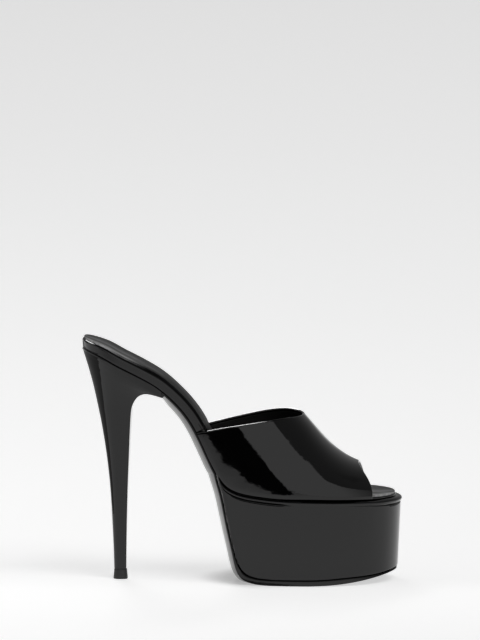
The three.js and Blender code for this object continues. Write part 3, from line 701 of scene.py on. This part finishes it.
def make_outsole():
    shank_x = steps(BREAST + CLEARANCE, WEDGE, 70)
    back_x, back_z = back_stations(150)
    flat_x = steps(CORNER, TOE_ROUND, 40)[1:]
    toe_end = toe_wall_inset(PLATFORM_HEIGHT) + SOLE_INSET
    toe = toe_x(toe_end)
    x = np.concatenate([shank_x, back_x, flat_x, toe])
    ground = np.concatenate([flat_x, toe])
    z = np.concatenate([feather_height(shank_x), back_z, spring_height(ground) + ground_sole(ground)])
    run_x, run_z = np.gradient(x), np.gradient(z)
    length = np.hypot(run_x, run_z)
    normal_x, normal_z = run_z / length, -run_x / length
    # The sole thickens toward the floor, and its underside is crowned along the arch only.
    flat = ease(x, CORNER - 3, CORNER)
    down_x, down_z = mix(normal_x, 0, flat), mix(normal_z, -1, flat)
    thick = mix(SOLE_EDGE, ground_sole(x), ease(x, CORNER - 25, CORNER - 15))
    bulge_here = SOLE_CROWN + 0.6 + 1.3 * ease(x, BREAST, BREAST + 9) - 0.9 * ease(x, WEDGE - 3, WEDGE + 7)
    crown = bulge_here * (1 - ease(x, CORNER - 19, CORNER - 4))
    on_wall = ease(x, WEDGE - 12, WEDGE + 3)
    fall = np.maximum(0, feather_height(x) - z)
    toe_in = SOLE_INSET + toe_wall_inset(fall)

    def at(edge, inset=0.0, across=1.0, bulge=0.0):
        depth = thick * edge + crown * bulge
        low = np.maximum(z + depth * down_z, spring_height(x))
        half = half_width(x, SOLE_INSET + inset + wall_inset(fall) * on_wall, toe_in + inset, 0) * across
        return ring(x + depth * down_x, low, middle_y(x), half)

    soft = 1.25
    rings = [at(0, soft, share) for share in (0, 0.5, 0.9)]
    for a in arc(0, 90, 6):
        rings.append(at(soft * (1 - math.cos(a)) / SOLE_EDGE, soft * (1 - math.sin(a))))
    rings += [at(0.97)]
    for share in (0.995, 0.985, 0.97, 0.95, 0.92, 0.87, 0.8, 0.72, 0.62, 0.5, 0.38, 0.25, 0.12, 0):
        rings.append(at(1, 0, share, 1 - share**2))
    return wrap_piece("outsole_leather", rings, sole_paint, "outsole", sharp=50)


# ---- upper ----
CREST_POWER = 2.4  # how squarely the vamp turns over at its crest
WING_FLARE, FLARE_FROM = 0.0007, 64.0  # the wings lean out above this height
INNER_COLLAR_RISE, SKIN_DEPTH, LINING_SET_BACK = 1.4, 1.7, 1.9


def crest_height(x):
    lead = (x - THROAT) / (VAMP_FRONT - THROAT)
    return VAMP_FRONT_HEIGHT + crest_rise(lead) * (THROAT_HEIGHT - VAMP_FRONT_HEIGHT)


def skin_foot(x):
    """Height of the vamp's foot, a little higher from the ball on."""
    return feather_height(x) + (0.1 + 0.5 * ease(x, 128, 150)) / np.cos(feather_angle(x))


def skin_point(x, height, side):
    """A point of the last: height is the share of the way from the feather line up to the crest."""
    foot = skin_foot(x)
    z = mix(foot, crest_height(x), height)
    away = (z - foot) * np.cos(feather_angle(x))
    low = np.clip(1 - away / EDGE_TURN, 0, 1)
    tuck = EDGE_DEPTH * (1 - np.sqrt(1 - 0.97 * low**2)) * ease(x, WEDGE - 14, WEDGE + 6)
    wing = ease(x, WING + 1, WING + 9) * (1 - ease(x, 98, 116))
    flare = WING_FLARE * np.maximum(0, z - FLARE_FROM) ** 2 * wing
    inset = tuck - flare + (LEDGE - TUCK / 2) * ease(x, WEDGE, WEDGE + 20)
    share = np.maximum(0, 1 - height**2) ** (1 / CREST_POWER)
    half = half_width(x, inset, LEDGE, 0)
    return np.stack([x, middle_y(x) + side * half * share, z], axis=-1)


def collar_height(x, side, lower):
    run = (x - WING) / (THROAT - WING)
    start = skin_foot(WING)
    inner = np.where(side > 0, INNER_COLLAR_RISE * 6.75 * run**2 * (1 - run), 0)  # 6.75 makes its peak 1
    return start + collar_rise(run) * (THROAT_HEIGHT - start) + inner - lower * ease(run, 0, 0.1)


def collar_x(height, side, lower):
    low, high = np.full_like(height, WING), np.full_like(height, THROAT + 3)
    for _ in range(40):
        x = (low + high) / 2
        share = (collar_height(x, side, lower) - skin_foot(x)) / (crest_height(x) - skin_foot(x))
        low, high = np.where(share < height, x, low), np.where(share < height, high, x)
    return (low + high) / 2


def toe_edge_x(height, side, back):
    foot = np.where(side > 0, INNER_TOE_EDGE, TOE_EDGE)
    return foot - (foot - VAMP_FRONT) * height ** np.where(side > 0, 1.0, 3.0) - back


def vamp_layer(rows, columns, outer_depth, inner_depth, set_back):
    """A layer of the vamp's wall between two depths under its skin, with rounded collar and toe edges."""
    even = np.linspace(0, math.pi, rows)[:, None]
    turn = even - 0.42 * np.sin(2 * even)
    height, side = np.sin(turn), np.where(turn > math.pi / 2, 1.0, -1.0)
    radius = (inner_depth - outer_depth) / 2
    start = collar_x(height, side, set_back + radius) + CLEARANCE
    end = toe_edge_x(height, side, set_back + radius)
    t = np.linspace(0, 1, columns)[None, :]
    x = mix(start, end, t**1.1)
    skin = skin_point(x, height, side)
    up, forward = np.gradient(skin, axis=0), np.gradient(skin, axis=1)
    inward = np.cross(up, forward)
    inward /= np.linalg.norm(inward, axis=-1, keepdims=True)
    outer, inner = skin + inward * outer_depth, skin + inward * inner_depth

    def edge(column, sign):
        along = np.gradient(skin[:, column], axis=0)
        out = sign * np.cross(inward[:, column], along)
        out /= np.linalg.norm(out, axis=-1, keepdims=True)
        centre = (outer[:, column] + inner[:, column]) / 2
        deep = inward[:, column]
        return [centre + radius * (out * math.sin(a) - deep * math.cos(a)) for a in arc(0, 180, 9)[1:-1]]

    toe_round = np.stack(edge(-1, 1), axis=1)
    collar_round = np.stack(edge(0, -1)[::-1], axis=1)
    loop = np.concatenate([outer, toe_round, inner[:, ::-1], collar_round], axis=1)
    sheets = Sheets()
    sheets.grid(loop, around=True)
    half = loop.shape[1] // 2
    for row, turned in ((0, 1), (-1, -1)):
        sheets.grid(np.stack([loop[row][:half], loop[row][: half - 1 : -1]][::turned]))
    return sheets


def make_vamp():
    shell = vamp_layer(125, 150, 0.0, SKIN_DEPTH, 0.0)
    make_piece("vamp_patent", shell, patent, "upper")
    inside = vamp_layer(91, 100, SKIN_DEPTH + 0.02, WALL + 0.06, LINING_SET_BACK)
    make_piece("vamp_lining", inside, vamp_inside, "upper")


# ---- heel ----
heel_curves = {
    column: Curve(HEEL_SECTIONS, "lift", column, 0.03 if column == "width" else 0.014)
    for column in ("rear", "front", "dip", "width")}
HEEL_TOP = 0.985  # the lift at which the heel's rings begin to turn up to the seat
SEAT_REAR = 0.004  # the rear of the topmost ring, as a share like the table's
BREAST_CORNER = 0.7  # rounding of the breast's two edges
ARCH_CROWN = 1.4  # the middle of the breast's arch hangs this much lower than its edges


def heel_section(widest, narrow, corner_x, corner_y):
    """Shares along and outward round half a section: round back, nearly flat side, square breast."""
    turn = np.linspace(0, math.pi / 2, 41)
    back = np.stack([widest * (1 - np.cos(turn) ** (2 / 2.1)), np.sin(turn) ** (2 / 2.1)], -1)
    run = np.linspace(0, 1, 22)[1:]
    side = np.stack([mix(widest, 1 - corner_x, run), 1 - narrow * run**2], -1)
    turn = arc(0, 90, 8)[1:]
    bend = np.stack([1 - corner_x * (1 - np.sin(turn)), 1 - narrow - corner_y * (1 - np.cos(turn))], -1)
    to_middle = np.linspace(1 - narrow - corner_y, 0, 9)[1:]
    breast = np.stack([np.ones_like(to_middle), to_middle], -1)
    return np.concatenate([back, side, bend, breast])


def heel_ring(lift, share=1.0, drop=0.0, drawn_in=0.0):
    """Ring at a share of the heel's height; above HEEL_TOP it turns up from the arch to the seat."""
    lift_read = min(lift, HEEL_TOP)
    read = lambda column: float(heel_curves[column](lift_read))
    at_top = ease(lift, HEEL_TOP, 1.0)
    top = mix(float(monotone(HEEL_SECTIONS["lift"], HEEL_SECTIONS["top"], np.array(lift_read))), 1, at_top)
    base = TIP_HEIGHT + 0.1
    height = SEAT_HEIGHT - base
    rear, front = mix(read("rear"), SEAT_REAR, at_top) * BREAST, read("front") * BREAST
    length, wide = front - rear, read("width") * SEAT_WIDTH / 2
    narrow = mix(0.2, 0.02, ease(lift, 0, 0.9))
    along, out = heel_section(
        0.5 + 0.1 * (1 - top), narrow, BREAST_CORNER / length, BREAST_CORNER / wide).T
    x = mix(rear, front, along)
    level = base + lift_read * height - along * read("dip") * height
    z = mix(level, feather_height(x) - drop, at_top)
    seat_half = half_width(x) * np.where(along > 0.6, out, 1) - SOLE_INSET * top
    half = mix(wide * out, np.maximum(0, seat_half), top)
    outward = half / np.max(half)
    z = z - ARCH_CROWN * ease(x, BREAST - 7, BREAST) * (1 - at_top) * (1 - outward**2)
    half = np.maximum(0, half - drawn_in * outward)
    x = x + drawn_in * ease(-along, -0.3, 0)
    return ring(x, z, 0, half * share)


def make_heel():
    soft = 1.2
    rings = [heel_ring(0, share) for share in (0, 0.5, 0.9)]
    rings += [heel_ring(lift) for lift in HEEL_TOP * np.linspace(0, 1, 130) ** 0.85]
    rings += [heel_ring(HEEL_TOP + (1 - HEEL_TOP) * part) for part in (0.15, 0.3, 0.45, 0.6, 0.75)]
    for a in arc(0, 90, 7):
        rings.append(heel_ring(1, drop=soft * (1 - math.sin(a)), drawn_in=soft * (1 - math.cos(a))))
    rings += [heel_ring(1, share, drawn_in=soft) for share in (0.9, 0.5, 0)]
    return wrap_piece("heel_cover", rings, patent, "heel")


def make_tip():
    def at(z, grow, share=1.0):
        angle = np.linspace(0, math.pi, 49)
        power = np.where(angle > math.pi / 2, 2.6, 2.1)
        reach = -np.sign(np.cos(angle)) * np.abs(np.cos(angle)) ** (2 / power)
        x = TIP_PLACE + TIP_LENGTH / 2 + reach * (TIP_LENGTH / 2 + grow)
        half = (TIP_WIDTH / 2 + grow) * np.abs(np.sin(angle)) ** (2 / power) * share
        return ring(x, np.full_like(x, z), 0, half)

    soft = 0.35
    rings = [at(0, TIP_FLARE - soft, share) for share in (0, 0.5, 0.9)]
    rings += [at(soft * (1 - math.cos(a)), TIP_FLARE - soft * (1 - math.sin(a))) for a in arc(0, 90, 5)]
    rings += [at(1.5, TIP_FLARE * 0.85), at(3.5, TIP_FLARE * 0.45), at(5.2, TIP_FLARE * 0.15)]
    rings += [at(TIP_HEIGHT - 0.3, 0), at(TIP_HEIGHT - 0.1, -0.08), at(TIP_HEIGHT, -0.3)]
    rings += [at(TIP_HEIGHT, -0.3, share) for share in (0.8, 0.4, 0)]
    return wrap_piece("top_piece", rings, tip_rubber, "heel_tip")


make_footbed()
make_sock()
make_platform()
make_outsole()
make_vamp()
make_heel()
make_tip()


# ---- studio ----
FLOOR_GLOW = 0.605
FLOOR_SHADES = [(0.0, 0.93), (0.06, 0.92), (0.2, 0.865), (0.4, 0.81), (0.66, 0.755), (1.0, 0.72)]
FLOOR_REACH, WALL_REACH = 14.0, 9.0
ROOM_SHADES = [(0.0, 0.2), (0.8, 0.2), (0.9, 0.05), (1.0, 0.04)]


def stage_mesh(name, corners, faces, material):
    mesh = bpy.data.meshes.new(name)
    mesh.from_pydata(corners, [], faces)
    mesh.materials.append(material)
    thing = bpy.data.objects.new(name, mesh)
    bpy.context.scene.collection.objects.link(thing)
    return thing


def contact_shade(tree, parts):
    """Soft dark patch on the table close behind the platform's back, where little light gets in."""
    along = maths(tree, "DIVIDE", maths(tree, "SUBTRACT", parts.outputs["X"], 0.05), 0.058)
    across = maths(tree, "DIVIDE", maths(tree, "SUBTRACT", parts.outputs["Y"], 0.008), 0.052)
    far = maths(tree, "ADD", maths(tree, "MULTIPLY", along, along), maths(tree, "MULTIPLY", across, across))
    near = maths(tree, "SUBTRACT", 1.0, span(tree, far, 0.85, 2.0))
    behind = maths(tree, "SUBTRACT", 1.0, span(tree, parts.outputs["X"], -0.01, 0.03))
    return maths(tree, "MULTIPLY", near, behind)


def make_floor():
    """Pale glowing table, paler near the shoe and darker far off, with painted light: painted shade far in
    front and to the left, a painted brighter band just in front of the shoe and a painted shadow behind the
    platform.
    """
    material = bpy.data.materials.new("pale_sweep")
    material.use_nodes = True
    tree = material.node_tree
    surface = tree.nodes["Principled BSDF"]
    surface.inputs["Roughness"].default_value = 0.6
    surface.inputs["Specular IOR Level"].default_value = 0.1
    place = tree.nodes.new("ShaderNodeTexCoord")
    far = vector_step(tree, "LENGTH", place.outputs["Object"], None)
    pale = shade_ramp(tree, maths(tree, "DIVIDE", far.outputs["Value"], 8.0, clamp=True), FLOOR_SHADES)
    parts = tree.nodes.new("ShaderNodeSeparateXYZ")
    tree.links.new(place.outputs["Object"], parts.inputs[0])
    # Painted shade on the floor far in front and to the left, for the lacquer's reflections, and a band of
    # painted light just in front of the shoe.
    near = maths(tree, "SUBTRACT", 1.0, span(tree, parts.outputs["Y"], -0.75, -0.4))
    left = maths(tree, "SUBTRACT", 1.0, span(tree, parts.outputs["X"], -0.5, 0.35))
    dim = maths(tree, "MULTIPLY", maths(tree, "MULTIPLY", near, left), 0.2)
    lift = span(tree, parts.outputs["Y"], -0.3, -0.06)
    lift = maths(tree, "SUBTRACT", lift, span(tree, parts.outputs["Y"], -0.06, 0.0))
    level = maths(tree, "ADD", maths(tree, "SUBTRACT", 1.0, dim), maths(tree, "MULTIPLY", lift, 0.05))
    # Painted shadow on the table behind the platform.
    level = maths(tree, "SUBTRACT", level, maths(tree, "MULTIPLY", contact_shade(tree, parts), 0.45))
    shade = vector_step(tree, "SCALE", pale, level)
    tree.links.new(shade.outputs[0], surface.inputs["Base Color"])
    tree.links.new(shade.outputs[0], surface.inputs["Emission Color"])
    surface.inputs["Emission Strength"].default_value = FLOOR_GLOW
    corners = [(x * FLOOR_REACH, y * FLOOR_REACH, 0) for y in (-1, 1) for x in (-1, 1)]
    stage_mesh("studio_floor", corners, [(0, 1, 3, 2)], material)


def glow_material(name, shade):
    material = bpy.data.materials.new(name)
    material.use_nodes = True
    tree = material.node_tree
    tree.nodes.remove(tree.nodes["Principled BSDF"])
    glow = tree.nodes.new("ShaderNodeEmission")
    glow.inputs["Color"].default_value = (shade, shade, shade, 1)
    tree.links.new(glow.outputs[0], tree.nodes["Material Output"].inputs["Surface"])
    return material


def fading_glow(name):
    """Glow whose strength is painted on the mesh."""
    material = glow_material(name, 1.0)
    tree = material.node_tree
    paint = tree.nodes.new("ShaderNodeAttribute")
    paint.attribute_name = "glow"
    tree.links.new(paint.outputs["Fac"], tree.nodes["Emission"].inputs["Strength"])
    return material


def around(angle, reach, height):
    """A spot at an angle from the camera's side, positive toward the toe."""
    turn = math.radians(angle)
    return (math.sin(turn) * reach, -math.cos(turn) * reach, height)


def make_wall(name, rows):
    """Pale curved screen on the floor: its top's height angle and its glow, by the angle round the shoe."""
    angles = np.arange(rows["angle"][0], rows["angle"][-1] + 0.1, 2)
    tops = WALL_REACH * np.tan(np.radians(np.interp(angles, rows["angle"], rows["top"])))
    corners = [around(a, WALL_REACH, z) for a, top in zip(angles, tops) for z in (0, float(top))]
    faces = [(2 * i, 2 * i + 1, 2 * i + 3, 2 * i + 2) for i in range(len(angles) - 1)]
    wall = stage_mesh(name, corners, faces, fading_glow(name))
    write_shares(wall.data, "glow", np.repeat(np.interp(angles, rows["angle"], rows["glow"]), 2))
    wall.visible_camera = wall.visible_diffuse = False
    return wall


def make_flag(name, corners, shade=0.0):
    """Card, dark or glowing, that only shows in the lacquer's reflections."""
    flag = stage_mesh(name, corners, [tuple(range(len(corners)))], glow_material(name, shade))
    flag.visible_camera = flag.visible_diffuse = flag.visible_shadow = False
    return flag


def make_sky():
    """Dim room, darker overhead; pale where the camera sees it."""
    world = bpy.data.worlds.new("studio")
    bpy.context.scene.world = world
    world.use_nodes = True
    tree = world.node_tree
    back = tree.nodes["Background"]
    place = tree.nodes.new("ShaderNodeTexCoord")
    parts = tree.nodes.new("ShaderNodeSeparateXYZ")
    tree.links.new(place.outputs["Generated"], parts.inputs[0])
    room = shade_ramp(tree, parts.outputs["Z"], ROOM_SHADES)
    path = tree.nodes.new("ShaderNodeLightPath")
    seen = blend(tree, path.outputs["Is Camera Ray"], room, (0.8, 0.8, 0.8, 1))
    tree.links.new(seen, back.inputs["Color"])


make_floor()
make_sky()
FRONT_SCREEN = table(
    "angle top glow", (-110, 38.5, 0.97), (10, 38.5, 0.97), (20, 36.5, 0.97), (28, 35, 0.97),
    (36, 37, 0.95), (44, 38.6, 0.85), (58, 38.6, 0.62), (72, 33, 0.42), (85, 22, 0.32))
make_wall("front_screen", FRONT_SCREEN)
make_wall("back_screen", table("angle top glow", (85, 4, 0.5), (250, 4, 0.6)))
FRONT_FLAG = table(
    "x z", (-1.3, 0.001), (-0.16, 0.001), (-0.1, 0.012), (-0.055, 0.035), (-0.095, 0.06), (-0.126, 0.083),
    (-0.17, 0.1), (-0.205, 0.115), (-0.24, 0.141), (-0.262, 0.172), (-0.303, 0.19), (-0.365, 0.193),
    (-0.37, 0.22), (-0.405, 0.227), (-0.4, 0.25), (-0.46, 0.33), (-0.7, 0.5), (-1.3, 0.5))
make_flag("front_flag", [(x, -0.8, z) for x, z in zip(*FRONT_FLAG.values())])
HEEL_FLAG = table("y z", (0.0, 0), (0.0, 0.02), (-0.08, 0.05), (-0.1, 0.1), (1.3, 0.1), (1.3, 0))
make_flag("heel_flag", [(-0.3, y, z) for y, z in zip(*HEEL_FLAG.values())], 0.25)
TOE_FLAG = table("y z", (0.1, 0), (1.6, 0), (1.6, 0.13), (0.1, 0.13))
make_flag("toe_flag", [(0.4, y, z) for y, z in zip(*TOE_FLAG.values())], 0.35)
TOP_LAMP = table("x y", (-1.05, 0.9), (-0.42, 0.9), (-0.3, 3), (-1.05, 3))
make_flag("top_lamp", [(x, y, 2) for x, y in zip(*TOP_LAMP.values())], 24.0)
KEY_ANGLE, KEY_HEIGHT = 40, math.radians(48)
key_light = bpy.data.lights.new("key_light", "SUN")
key_light.energy, key_light.angle = 0.95, math.radians(40)
key = bpy.data.objects.new("key_light", key_light)
bpy.context.scene.collection.objects.link(key)
key_ray = Vector(around(KEY_ANGLE, -math.cos(KEY_HEIGHT), -math.sin(KEY_HEIGHT)))
key.rotation_euler = key_ray.to_track_quat("-Z", "Y").to_euler()
key.visible_glossy = False

camera_data = bpy.data.cameras.new("camera")
camera = bpy.data.objects.new("camera", camera_data)
bpy.context.scene.collection.objects.link(camera)
bpy.context.scene.camera = camera
SCALE, FRAME_HEIGHT, DISTANCE = 0.00065, 640, 6.0
aim, azimuth, height_angle = Vector((-0.0015, 0, 0.1694)), math.radians(2), math.radians(6.05)
back = Vector((math.sin(azimuth) * math.cos(height_angle), -math.cos(azimuth) * math.cos(height_angle),
               math.sin(height_angle)))
camera_data.sensor_width = 36
camera_data.lens = 36 * DISTANCE / (SCALE * FRAME_HEIGHT)
camera_data.clip_start, camera_data.clip_end = 0.1, 60
camera.location = aim + back * DISTANCE
camera.rotation_euler = (-back).to_track_quat("-Z", "Y").to_euler()

bpy.context.scene.view_settings.view_transform = "Standard"
